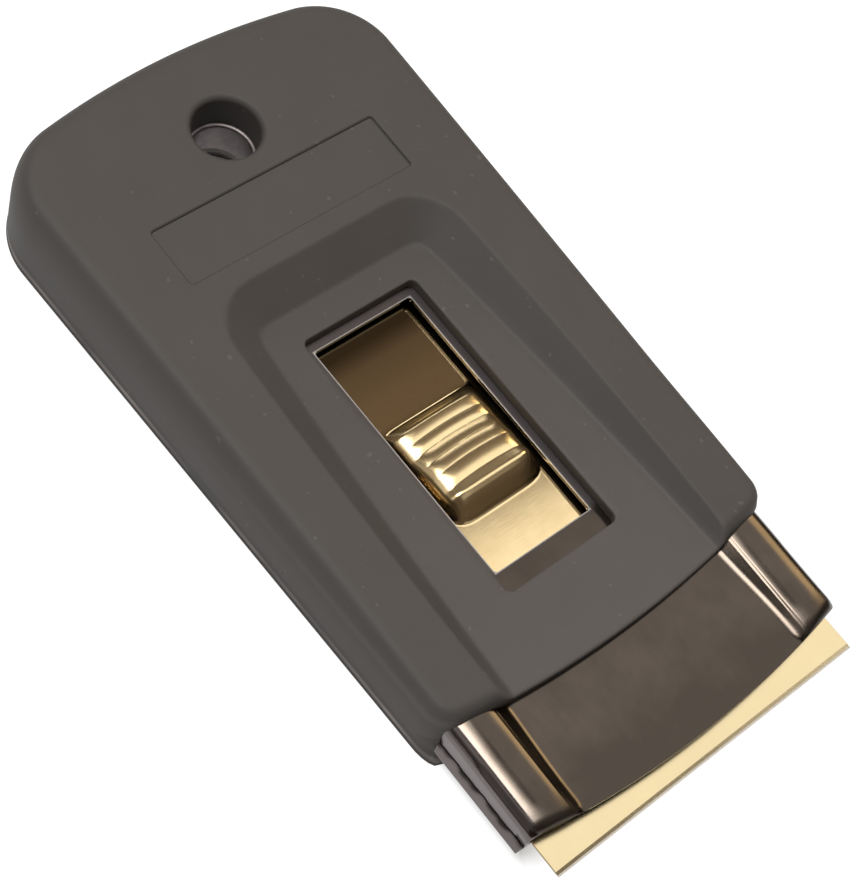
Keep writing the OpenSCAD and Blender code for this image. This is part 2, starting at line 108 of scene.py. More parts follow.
class SleeveSizes(bpy.types.PropertyGroup):
    """Sizes of the rubber sleeve."""

    front_narrowing: length("Front narrowing", "How much nearer the middle each side is at the front", 1.15)
    rear_bulge: length("Rear bulge", "How far the middle of the rear end leads its corners", 2.9)
    front_bulge: length("Front bulge", "How far the middle of the front edge leads its corners", 1.9)
    rear_corner: length("Rear corner", "Radius of the rear corners seen from above", 8.5)
    front_corner: length("Front corner", "Radius of the front corners seen from above", 2.8)
    shoulder: length("Shoulder", "Width of the shoulders along the sides", 2.3)
    rear_shoulder: length("Rear shoulder", "Width of the shoulder across the rear end", 2.4)
    front_shoulder: length("Front shoulder", "Width of the shoulders at the front of the lands", 1.9)
    front_lip: length("Front lip", "Radius of the front edge across the thumb recess", 0.5)
    band_height: length("Band height", "Height of the base band under the parting step", 0.55)
    band_step: length("Band step", "How far the base band stands out", 0.05)
    wall_batter: length("Wall batter", "How far the walls lean inwards below the shoulders", 0.03)
    back_edge: length("Back edge", "Radius of the edge round the back", 0.4)
    base_toe: length("Base toe", "How far the front corners of the base reach forwards", 1.5)
    land_rear: length("Rear land height", "Height of the land at the rear end", 10)
    land_front: length("Front land height", "Height of the land at the front end", 7.9)
    land_bow: share("Land bow", "Share of the land's fall that is bowed towards the front", 0.47)
    recess_height: length("Recess height", "Height of the thumb recess's floor", 6.6)
    recess_rear: length("Recess rear", "Rear end of the recess's floor", -13.475)
    recess_side: length("Recess side", "Half width of the recess's floor at its rear", 10.16)
    recess_bow: length("Recess bow", "How much the sides of the floor bow outwards", 0.3)
    recess_corner: length("Recess corner", "Radius of the floor's rear corners", 1.9)
    recess_crease: length("Recess crease", "Softness of the crease round the floor", 0.2)
    recess_brink: length("Recess brink", "Softness of the recess's upper edge", 0.16)
    window_rear: length("Window rear", "Rear end of the rubber window", -10.275)
    window_front: length("Window front", "Front end of the rubber window", 20.525)
    window_side: length("Window side", "Half width of the rubber window", 6.9)
    window_corner: length("Window corner", "Corner radius of the rubber window", 0.7)
    window_rim: length("Window rim", "Radius of the rubber window's upper edge", 0.18)
    label_rear: length("Label rear", "Rear end of the bare sunken panel", -26.075)
    label_front: length("Label front", "Front end of the bare sunken panel", -19.575)
    label_side: length("Label side", "Half width of the bare sunken panel", 13.4)
    label_depth: length("Label depth", "Depth of the bare sunken panel", 0.3)
    label_rim: length("Label rim", "Radius of the bare sunken panel's upper edge", 0.28)
    hole_margin: length("Hole margin", "Rubber hole past the eyelet's bore, on the radius", 0.35)
    hole_rim: length("Hole rim", "Radius of the hang hole's rim", 0.7)
    fit: length("Fit", "Room between the rubber and the metal", 0.05)


class CaseSizes(bpy.types.PropertyGroup):
    """Sizes of the two stamped shells and the eyelet."""

    sheet: length("Sheet", "Thickness of the sheet", 0.5)
    panel_height: length("Panel height", "Height of the sunken panel's upper face", 5.3)
    nose_bulge: length("Nose bulge", "How far the middle of the nose leads its corners", 1.8)
    ridge_width: length("Ridge width", "Width of a ridge from its foot to the side wall", 5.7)
    ridge_slope: length("Ridge slope", "Run of a ridge's inner slope", 1.6)
    ridge_rise: length("Ridge rise", "Height of the ridges under the sleeve", 0.9)
    nose_rise: length("Nose rise", "Height of the ridges just behind the nose", 0.68)
    mouth_rise: length("Mouth rise", "Height of the ridges at the very edge of the nose", 0.12)
    mouth_length: length("Mouth length", "How far behind the nose the ridges start to round off", 1.28)
    ridge_flare: length("Ridge flare", "How much a ridge's foot moves outwards towards the nose", 0.7)
    ridge_crown: length("Ridge crown", "How much the top of a ridge is crowned", 0.45)
    ridge_fall: length("Ridge fall", "How far the top of a ridge falls towards its outer side", 0.25)
    foot_radius: length("Foot radius", "Radius of the crease at the foot of a ridge", 2.0)
    brow_radius: length("Brow radius", "Radius of a ridge's inner shoulder", 0.85)
    shoulder_radius: length("Shoulder radius", "Radius of a ridge's outer shoulder", 1.1)
    window_rear: length("Window rear", "Rear end of the metal window", -9.275)
    window_front: length("Window front", "Front end of the metal window", 18.025)
    window_side: length("Window side", "Half width of the metal window", 6)
    window_corner: length("Window corner", "Corner radius of the metal window", 0.4)
    edge_round: length("Edge round", "Rounding of the sheet's cut edges", 0.1)
    crimp_wave: length("Crimp wave", "How uneven the crimped lip is", 0.055)
    eyelet_wall: length("Eyelet wall", "Wall of the eyelet's tube", 0.35)
    eyelet_bore: length("Eyelet bore", "Radius of the eyelet's bore", 3.1)
    eyelet_flange: length("Eyelet flange", "Thickness of the eyelet's flanges", 0.4)


class SlideSizes(bpy.types.PropertyGroup):
    """Sizes of the brass slide."""

    sheet: length("Sheet", "Thickness of the sheet", 0.5)
    plate_height: length("Plate height", "Height of the plate's upper face", 4.1)
    step_at: length("Step", "Where the plate steps up over the blade's spine", 23.1)
    dome_rear: length("Dome rear", "Rear end of the thumb dome", 0.725)
    dome_front: length("Dome front", "Front end of the thumb dome", 12.825)
    dome_side: length("Dome side", "Half width of the thumb dome", 5.6)
    dome_fullness: FloatProperty(
        name="Dome fullness",
        description="How squarely the dome is filled towards its sides",
        default=9,
        min=2,
    )
    front_round: length("Front rounding", "How far the dome's front corners draw back", 1.1)
    rib_bow: length("Rib bow", "How far the ends of the ribs lead their middles", 0.4)
    rib_height: length("Rib height", "Height of the dome's ribs", 0.11)


class Finishes(bpy.types.PropertyGroup):
    """Colours and roughness of the finishes."""

    rubber: tint("Rubber", "Moulded rubber of the sleeve", (0.0716, 0.065, 0.06))
    rubber_roughness: share("Rubber roughness", "Roughness of the rubber", 0.62)
    plating: tint("Plating", "Dark nickel plating of the case", (0.097, 0.079, 0.064))
    # Painted light: a paler copy of the plating, for the walls, the band round the window and the eyelet's
    # lining.
    wall_plating: tint("Wall plating", "Paler plating of the walls and the eyelet", (0.15, 0.132, 0.13))
    plating_roughness: share("Plating roughness", "Roughness of the plating", 0.17)
    brass: tint("Brass", "Polished brass of the slide", (0.95, 0.75, 0.425))
    brass_roughness: share("Brass roughness", "Roughness of the brass plate", 0.1)
    dome_roughness: share("Dome roughness", "Roughness of the thumb-worn dome", 0.24)
    blade: tint("Blade", "Gold-coloured coating of the blade", (0.79, 0.655, 0.392))
    blade_roughness: share("Blade roughness", "Roughness of the coating", 0.18)
    # The window's edge takes this colour as a painted highlight.
    steel: tint("Steel", "Bare steel of the spring, the rivets and the window's edge", (0.42, 0.4, 0.38))
    floor: tint("Floor", "Pale studio floor", (0.895, 0.895, 0.895))


def in_mm(group):
    """A property group with its lengths in millimetres."""
    values = {name: getattr(group, name) for name in group.__annotations__}
    lengths = [name for name in values if group.bl_rna.properties[name].unit == "LENGTH"]
    return SimpleNamespace(**{n: v / MM if n in lengths else v for n, v in values.items()})


def ease(t):
    """Smooth step from 0 to 1."""
    t = np.clip(t, 0, 1)
    return t * t * (3 - 2 * t)


def mix(a, b, t):
    """The value a share t of the way from a to b."""
    return a + (b - a) * t


def soft_max(a, b, blend):
    """The larger of two heights, with their crease filled over a difference of blend."""
    h = np.maximum(blend - np.abs(a - b), 0) / blend
    return np.maximum(a, b) + h * h * blend / 4


def soft_min(a, b, blend):
    """The smaller of two heights, with the same filling."""
    return -soft_max(-a, -b, blend)


def unit(v):
    """A vector of length 1 along v."""
    return v / np.linalg.norm(v)


def bulge_radius(side, bulge):
    """Radius of an arc of half width side, whose middle leads its ends by bulge."""
    return (side**2 + bulge**2) / (2 * bulge)


def quarter_turn(steps):
    """Angles from 0 to a right angle, in equal steps."""
    return np.radians(np.linspace(0, 90, steps + 1))


def stations(*spans):
    """Places along a line: each span is its start, its end and the largest step within it."""
    places = [
        np.linspace(start, end, math.ceil(abs(end - start) / step - 1e-6) + 1)[:-1]
        for start, end, step in spans
    ]
    return np.concatenate([*places, [spans[-1][1]]])


def close_stations(start, first, second, end, before, after):
    """Places along a line, close together about two creases; before and after are the outer steps."""
    near = 0.5
    return stations(
        (start, first - near, before),
        (first - near, first + near, 0.1),
        (first + near, second - near, 0.25),
        (second - near, second + near, 0.1),
        (second + near, end, after),
    )


def rounded(corners, radii, steps=ROUND_STEPS):
    """Path through corners whose inner ones are rounded by radii."""
    corners = [np.array(c, float) for c in corners]
    path = [corners[0]]
    for a, b, c, radius in zip(corners, corners[1:], corners[2:], radii):
        u, v = unit(a - b), unit(c - b)
        half = math.acos(np.clip(u @ v, -1, 1)) / 2
        centre = b + unit(u + v) * radius / math.sin(half)
        start, end = b + u * radius / math.tan(half) - centre, b + v * radius / math.tan(half) - centre
        turn = math.pi - 2 * half
        for t in np.linspace(0, 1, steps + 1):
            arm = start * math.sin(turn * (1 - t)) + end * math.sin(turn * t)
            path.append(centre + arm / math.sin(turn))
    return np.array([*path, corners[-1]])


def slot_ring(x0, x1, side, corner, grow=0.0, steps=6):
    """Plan of a rectangle with rounded corners, grown outwards."""
    ring = []
    for cx, cy, start in (
        (x1 - corner, side - corner, 0),
        (x0 + corner, side - corner, 90),
        (x0 + corner, corner - side, 180),
        (x1 - corner, corner - side, 270),
    ):
        for a in np.radians(np.linspace(start, start + 90, steps + 1)):
            ring.append((cx + (corner + grow) * math.cos(a), cy + (corner + grow) * math.sin(a)))
    return np.array(ring)


def round_ring(radius, count=96):
    """Plan of a circle about the hang hole's axis."""
    a = np.linspace(0, 2 * math.pi, count, endpoint=False)
    return np.stack([HANG_X + radius * np.cos(a), radius * np.sin(a)], axis=1)


def at_height(plan, z):
    """A plan raised to a height, which is a number or an array."""
    return np.column_stack([plan, np.broadcast_to(z, len(plan))])


def take(piece):
    """Makes a piece the only selected and active object."""
    bpy.ops.object.select_all(action="DESELECT")
    piece.select_set(True)
    bpy.context.view_layer.objects.active = piece


def lay_grid(name, points):
    """Adds a grid and lays its rows over points, an array of rows by columns, in millimetres."""
    points = np.asarray(points, np.float32)
    rows, columns = points.shape[:2]
    bpy.ops.object.select_all(action="DESELECT")
    bpy.ops.mesh.primitive_grid_add(x_subdivisions=columns - 1, y_subdivisions=rows - 1)
    piece = bpy.context.object
    piece.name = piece.data.name = name
    piece.data.vertices.foreach_set("co", points.ravel())
    piece.data.update()
    return piece


def close_up(piece):
    """Welds a piece's seams, fills its open ends and turns its faces outwards."""
    take(piece)
    bpy.ops.object.mode_set(mode="EDIT")
    bpy.ops.mesh.select_all(action="SELECT")
    bpy.ops.mesh.remove_doubles(threshold=0.001)
    bpy.ops.mesh.select_all(action="SELECT")
    bpy.ops.mesh.fill_holes(sides=0)
    bpy.ops.mesh.select_all(action="SELECT")
    bpy.ops.mesh.normals_make_consistent(inside=False)
    bpy.ops.object.mode_set(mode="OBJECT")
    return piece


def lay_rings(name, rings):
    """Adds an open tube through rings of equally many points."""
    rings = np.asarray(rings)
    return lay_grid(name, np.concatenate([rings, rings[:, :1]], axis=1))


def lay_tube(name, rings):
    """A closed solid through rings of equally many points."""
    return close_up(lay_rings(name, rings))


def modify(piece, kind, **settings):
    """Adds a modifier and applies it."""
    take(piece)
    modifier = piece.modifiers.new(kind, kind)
    for name, value in settings.items():
        setattr(modifier, name, value)
    bpy.ops.object.modifier_apply(modifier=modifier.name)


def cut(piece, tool):
    """Takes the shape of a tool out of a piece and throws the tool away."""
    before = len(piece.data.polygons)
    modify(piece, "BOOLEAN", object=tool, operation="DIFFERENCE", solver="MANIFOLD")
    if not piece.data.polygons or len(piece.data.polygons) == before:
        raise RuntimeError(f"{tool.name} did not cut {piece.name}")
    bpy.data.objects.remove(tool)


def punch(piece, name, plan, *heights):
    """Cuts a plan straight through a piece between two heights."""
    cut(piece, lay_tube(name, [at_height(plan, z) for z in heights]))


def round_edges(piece, width):
    """Rounds a piece's sharp edges."""
    modify(piece, "BEVEL", width=width, segments=2, limit_method="ANGLE", angle_limit=ROUND_ANGLE)


def settle(piece, body, slot, finish, *nodes):
    """Brings a piece from millimetres to its real size, smooths it and lets it ride in its nodes' place."""
    take(piece)
    piece.scale = (MM, MM, MM)
    bpy.ops.object.transform_apply(location=True, rotation=True, scale=True)
    bpy.ops.object.shade_smooth_by_angle(angle=SMOOTH_ANGLE)
    modify(piece, "WEIGHTED_NORMAL", keep_sharp=True)
    piece.data.materials.clear()
    piece.data.materials.append(finish)
    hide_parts(*nodes)
    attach(piece, body)


def fill(socket, value):
    """Gives a socket a value, or links a wire to it."""
    if isinstance(value, Wire):
        value.tree.links.new(value.socket, socket)
    else:
        socket.default_value = value


class Wire:
    """A socket of a material, whose sums add Math nodes."""

    def __init__(self, tree, socket):
        self.tree, self.socket = tree, socket

    def node(self, kind, sockets, output=0, **settings):
        """Adds a node, applies its settings, then fills its sockets with values or wires."""
        made = self.tree.nodes.new(kind)
        for name, value in settings.items():
            setattr(made, name, value)
        for name, value in sockets.items():
            fill(made.inputs[name], value)
        return Wire(self.tree, made.outputs[output])

    def sum(self, operation, a, b):
        """What a Math node makes of two values."""
        return self.node("ShaderNodeMath", {0: a, 1: b}, operation=operation)

    def __add__(self, other):
        return self.sum("ADD", self, other)

    def __sub__(self, other):
        return self.sum("SUBTRACT", self, other)

    def __rsub__(self, other):
        return self.sum("SUBTRACT", other, self)

    def __mul__(self, other):
        return self.sum("MULTIPLY", self, other)

    def __abs__(self):
        return self.sum("ABSOLUTE", self, 0.0)

    __radd__ = __add__
    __rmul__ = __mul__

    def greatest(self, other):
        """The larger of this value and another."""
        return self.sum("MAXIMUM", self, other)

    def axes(self):
        """The three parts of a vector."""
        parts = self.node("ShaderNodeSeparateXYZ", {"Vector": self}).socket.node.outputs
        return [Wire(self.tree, part) for part in parts]

    def clamp(self, low, high):
        """The value's share of the way from low to high, kept from 0 to 1."""
        return self.node("ShaderNodeMapRange", {"Value": self, "From Min": low, "From Max": high})

    def clamp_mm(self, low, high):
        """The same for a length, from low to high in millimetres."""
        return self.clamp(low * MM, high * MM)

    def blend(self, low, high, mode="MIX"):
        """A colour from low to high, each a wire or a tint, by this value."""
        low, high = [c if isinstance(c, Wire) else (*c, 1) for c in (low, high)]
        return self.node("ShaderNodeMix", {0: self, 6: low, 7: high}, 2, data_type="RGBA", blend_type=mode)

    def tones(self, colour, low, high):
        """A colour made from low to high times as light, by this value."""
        return self.blend(shade(colour, low), shade(colour, high))


def begin(name):
    """A new material and the wire of its Object coordinates."""
    material = bpy.data.materials.new(name)
    material.use_nodes = True
    tree = material.node_tree
    return material, Wire(tree, tree.nodes.new("ShaderNodeTexCoord").outputs["Object"])


def noise(place, size, detail, roughness=0.5, stretch=(1, 1, 1)):
    """Noise with features of about size millimetres, stretched along the axes."""
    scale = [1 / (size * MM * s) for s in stretch]
    scaled = place.node("ShaderNodeMapping", {"Vector": place, "Scale": scale})
    sockets = {"Vector": scaled, "Scale": 1.0, "Detail": detail, "Roughness": roughness}
    return place.node("ShaderNodeTexNoise", sockets)


def feed(material, **sockets):
    """Fills the sockets of a material's shader with values or wires; underscores stand for spaces."""
    shader = material.node_tree.nodes["Principled BSDF"]
    for name, value in sockets.items():
        fill(shader.inputs[name.replace("_", " ")], value)
    return material


def bump(height, depth):
    """Surface normal from a height whose full range is depth millimetres."""
    return height.node("ShaderNodeBump", {"Height": height, "Distance": depth * MM, "Strength": 1.0})


def shade(colour, factor):
    """A colour made lighter or darker."""
    return [min(1.0, c * factor) for c in colour]


def rubber_finish(look):
    """Matte moulded rubber: grain, blotches and a few specks of dust, painted shade low on the walls, a
    parting line whose paleness is a painted highlight, and paler on the floor of the recess towards its
    front."""
    material, place = begin("moulded_rubber")
    along, _, up = place.axes()
    blotch = noise(place, 9, 4, 0.6)
    grain = noise(place, 0.16, 2, 0.6)
    tone = (0.65 * blotch + 0.35 * grain).clamp(0.3, 0.7)
    # Painted shade: the walls are darker low down, towards the floor.
    low_wall_shade = 1 - up.clamp_mm(1.9, 2.4)
    # The parting line is real, but its pale colour, far lighter than the rubber, is a painted highlight.
    flash = noise(place, 14, 2).clamp(0.38, 0.58)
    parting = up.clamp_mm(0.7, 0.9) * (1 - up.clamp_mm(1.3, 1.5)) * flash
    recess = up.clamp_mm(6, 6.4) * (1 - up.clamp_mm(6.7, 7.2))
    speck = noise(place, 0.7, 0).clamp(0.82, 0.85)
    colour = tone.tones(look.rubber, 0.93, 1.07)
    colour = low_wall_shade.blend(colour, tone.tones(look.rubber, 0.68, 0.78))
    colour = parting.blend(colour, tone.tones(look.rubber, 3.2, 3.7))
    colour = (along.clamp_mm(-15, 30) * recess).blend(colour, tone.tones(look.rubber, 1.22, 1.42))
    colour = (0.15 * speck).blend(colour, tone.blend((0.24, 0.23, 0.21), (0.28, 0.27, 0.25)))
    return feed(
        material,
        Base_Color=colour,
        Roughness=look.rubber_roughness - 0.06 + 0.12 * blotch,
        Specular_IOR_Level=0.32,
        Normal=bump(grain + 0.5 * noise(place, 0.5, 3), 0.012),
    )


def plating_finish(look, window):
    """Polished dark nickel with draw lines and smudges, with painted light: a paler copy on the walls,
    painted shade darker towards the nose, where the ridges are dull too, and a rougher band round the
    window painted paler, with a painted highlight in bare steel's colour on its cut edge.

    The window is given by its middle, half length and half width."""
    material, place = begin("dark_nickel")
    along, across, up = place.axes()
    middle, reach, side = [v * MM for v in window]
    drawn = noise(place, 0.12, 3, 0.6, stretch=(60, 1, 1))
    smudge = noise(place, 5, 5, 0.65)
    # Painted shade: the tone darkens towards the nose.
    tone = (0.7 * smudge + 0.3 * drawn).clamp(0.3, 0.7) - 0.8 * along.clamp_mm(34, 40.5)
    # Painted light: the walls take a paler copy of the plating, standing for their brighter reflection.
    wall = abs(across).clamp_mm(CASE_HI[1] - 1.2, CASE_HI[1] - 0.3)
    dulled = up.clamp_mm(5.4, 5.7) * along.clamp_mm(36.5, 38.5)
    face = up.clamp_mm(5.15, 5.25)
    from_window = (abs(along - middle) - reach).greatest(abs(across) - side)
    # A painted highlight: a thin band of bare steel's colour on the window's cut edge.
    bare = from_window.clamp_mm(0.14, 0.06) * face
    # Painted light: the band round the window is painted in the paler plating, and made rougher.
    rub_and_sheen = from_window.clamp_mm(1.2, 0.9) * (1 - along.clamp_mm(17.5, 18.5)) * face
    colour = wall.blend(tone.tones(look.plating, 0.78, 1.18), tone.tones(look.wall_plating, 0.92, 1.1))
    colour = rub_and_sheen.blend(colour, drawn.tones(look.wall_plating, 0.6, 0.8))
    colour = bare.blend(colour, drawn.tones(look.steel, 0.8, 1.3))
    roughness = look.plating_roughness - 0.05 + 0.06 * drawn + 0.05 * smudge
    return feed(
        material,
        Base_Color=colour,
        Metallic=1.0,
        Roughness=roughness + 0.2 * dulled + 0.25 * rub_and_sheen,
        Normal=bump(0.2 * drawn + 0.8 * smudge, 0.005),
    )


def lining_finish(look):
    """Dull plating inside the hang hole, painted paler in blotches to stand for the light on its wall."""
    material, place = begin("dull_plating")
    rub_and_sheen = noise(place, 0.9, 4, 0.6)
    turned = noise(place, 0.1, 2, 0.5, stretch=(1, 1, 20))
    return feed(
        material,
        # Painted light: the colour is a paler copy of the plating, for the lit wall of the hole.
        Base_Color=rub_and_sheen.clamp(0.3, 0.7).tones(look.wall_plating, 1.3, 1.9),
        Metallic=1.0,
        Roughness=0.4 + 0.1 * rub_and_sheen + 0.05 * turned,
        Normal=bump(rub_and_sheen + 0.3 * turned, 0.004),
    )


def brass_finish(look):
    """Polished brass with draw lines and tarnish, duller on the thumb-worn dome, and with painted shade
    that dims it towards the rear and darkens it just inside the window's rear edge.
    """
    material, place = begin("polished_brass")
    along, _, up = place.axes()
    drawn = noise(place, 0.1, 3, 0.6, stretch=(1, 40, 1))
    tarnish = noise(place, 2.5, 5, 0.6)
    worn = up.clamp_mm(4.12, 4.6) * (1 - along.clamp_mm(14, 15))
    # Painted shade: dimmer towards the rear, and dark just inside the window's rear edge.
    colour = along.clamp_mm(-2, -8.5).blend(look.brass, shade(look.brass, 0.65))
    colour = along.clamp_mm(-5.8, -8).blend(colour, shade(look.brass, 0.25))
    patina = (0.75 * tarnish + 0.25 * drawn).clamp(0.3, 0.75)
    roughness = mix(look.brass_roughness, look.dome_roughness, worn)
    return feed(
        material,
        Base_Color=patina.blend(colour, (0.95, 0.92, 0.87), "MULTIPLY"),
        Metallic=1.0,
        Roughness=roughness - 0.03 + 0.05 * tarnish + 0.03 * drawn,
        Normal=bump(0.3 * drawn + tarnish, 0.0025),
    )


def blade_finish(look):
    """Satin gold-coloured coating, with bare ground steel along the edge and painted shade that darkens the
    ends.
    """
    material, place = begin("coated_blade")
    along, across, _ = place.axes()
    grind = noise(place, 0.07, 3, 0.6, stretch=(30, 1, 1))
    bloom = noise(place, 6, 4, 0.55)
    edge = along.clamp_mm(BLADE_HI[0] - 0.22, BLADE_HI[0] - 0.16)
    # Painted shade: the ends are dark brown.
    end = abs(across).clamp_mm(BLADE_HI[1] - 0.03, BLADE_HI[1] - 0.01)
    ground = grind.clamp(0.25, 0.75).blend((0.8, 0.75, 0.66), (0.95, 0.9, 0.8))
    colour = (0.6 * bloom + 0.4 * grind).clamp(0.3, 0.7).tones(look.blade, 0.95, 1.03)
    colour = edge.blend(colour, ground)
    colour = end.blend(colour, grind.blend((0.2, 0.14, 0.07), (0.3, 0.21, 0.1)))
    return feed(
        material,
        Base_Color=colour,
        Metallic=1.0,
        Roughness=look.blade_roughness - 0.06 + 0.08 * grind + 0.06 * bloom + 0.25 * edge,
        Normal=bump(grind, 0.003),
    )


def steel_finish(look):
    """Bright spring steel with rolling marks."""
    material, place = begin("spring_steel")
    rolled = noise(place, 0.1, 3, 0.6, stretch=(25, 1, 1))
    return feed(
        material,
        Base_Color=rolled.clamp(0.25, 0.75).tones(look.steel, 1.1, 1.4),
        Metallic=1.0,
        Roughness=0.22 + 0.1 * rolled,
        Normal=bump(rolled, 0.003),
    )


class ScraperOperator:
    """What the scraper's operators share."""

    bl_options = {"REGISTER", "UNDO"}


def land_height(x, s):
    """Height of the sleeve's land, which falls in a slight bow towards the front."""
    t = (x - SLEEVE_LO[0]) / (SLEEVE_HI[0] - SLEEVE_LO[0])
    return mix(s.land_rear, s.land_front, t * mix(1, t, s.land_bow))


def slot_gap(x, y, rear, side, flare, corner):
    """Distance outside a slot that is open at the front, whose sides part by flare for each millimetre."""
    tilt = math.atan(flare)
    centre_x = rear + corner
    centre_y = side + flare * corner - corner / math.cos(tilt)
    u, v = x - centre_x, np.abs(y) - centre_y
    beside = v * math.cos(tilt) - u * math.sin(tilt)
    behind_corner = (u * math.cos(tilt) + v * math.sin(tilt) < 0) & (v > 0)
    return np.where(behind_corner, np.hypot(u, v), np.maximum(beside, -u)) - corner


def along_recess(x, s):
    """Share of the way from the rear end of the recess to its front."""
    return np.clip((x - s.recess_rear) / (SLEEVE_HI[0] - s.recess_rear), 0, 1)


def recess_bow(x, s):
    """How far the floor's side bows outwards."""
    t = along_recess(x, s)
    return 4 * s.recess_bow * t * (1 - t)


def recess_draft(x, s):
    """Sideways run of the recess's wall for each millimetre of height."""
    return mix(*RECESS_DRAFTS, along_recess(x, s))


def sleeve_height(x, y, s):
    """Height of the sleeve's top: the land, and the thumb recess that is let into it."""
    beside = np.abs(y) - recess_bow(x, s)
    gap = slot_gap(x, beside, s.recess_rear, s.recess_side, RECESS_FLARE, s.recess_corner)
    wall = soft_max(gap / recess_draft(x, s), 0.0, s.recess_crease)
    return soft_min(s.recess_height + wall, land_height(x, s), s.recess_brink)


def crease_lines(x, s):
    """Distances from the middle of the lines along the recess's floor and its brink."""
    x = np.maximum(x, s.recess_rear + s.recess_corner)
    floor = s.recess_side + RECESS_FLARE * (x - s.recess_rear) + recess_bow(x, s)
    return floor, floor + recess_draft(x, s) * (land_height(x, s) - s.recess_height)


def sleeve_outline(s):
    """Half of the sleeve's outline from the rear middle to the front middle, in fine steps.

    Returns its points, inward directions, shoulder radii and lengths from the start, and the lengths
    at the middles of its two corners."""
    rear_side, front_side = SLEEVE_HI[1], SLEEVE_HI[1] - s.front_narrowing
    rear_r = bulge_radius(rear_side, s.rear_bulge)
    front_r = bulge_radius(front_side, s.front_bulge)
    rear_y, front_y = rear_side - s.rear_corner, front_side - s.front_corner
    rear_c, front_c = SLEEVE_LO[0] + rear_r, SLEEVE_HI[0] - front_r
    corner_x = rear_c - math.sqrt((rear_r - s.rear_corner) ** 2 - rear_y**2)
    lip_x = front_c + math.sqrt((front_r - s.front_corner) ** 2 - front_y**2)
    rear_a = math.asin(rear_y / (rear_r - s.rear_corner))
    front_a = math.asin(front_y / (front_r - s.front_corner))

    def arc(cx, cy, radius, angles, facing):
        a = np.asarray(angles)
        out = np.stack([facing * np.cos(a), np.sin(a)], axis=1)
        return np.array([cx, cy]) + radius * out, -out

    quarter = math.pi / 2
    steps = 80
    parts = [
        arc(rear_c, 0, rear_r, np.linspace(0, rear_a, steps)[:-1], -1),
        arc(corner_x, rear_y, s.rear_corner, np.linspace(rear_a, quarter, steps + 1), -1),
        arc(lip_x, front_y, s.front_corner, np.linspace(quarter, front_a, steps + 1), 1),
        arc(front_c, 0, front_r, np.linspace(front_a, 0, steps)[1:], 1),
    ]
    side = np.linspace(0, 1, 200)[1:-1, None]
    straight = mix(parts[1][0][-1], parts[2][0][0], side)
    parts.insert(2, (straight, np.tile([0.0, -1.0], (len(straight), 1))))
    points = np.concatenate([p for p, _ in parts])
    inward = np.concatenate([n for _, n in parts])
    lengths = np.concatenate([[0], np.cumsum(np.linalg.norm(np.diff(points, axis=0), axis=1))])
    narrows, widens = 8, SLEEVE_LO[0] + 2
    along = mix(s.shoulder, s.front_shoulder, ease((points[:, 0] - narrows) / (lip_x - narrows)))
    along = mix(s.rear_shoulder, along, ease((points[:, 0] - widens) / (s.rear_corner + 3)))
    floor, brink = crease_lines(SLEEVE_HI[0], s)
    lip = mix(s.front_lip, s.front_shoulder, ease((points[:, 1] - floor) / (brink + 0.6 - floor)))
    radii = np.where(points[:, 0] > lip_x, np.minimum(along, lip), along)
    ends = np.cumsum([len(p) for p, _ in parts])
    middles = lengths[ends[[0, 2]] + steps // 2]
    return points, inward, radii, lengths, middles


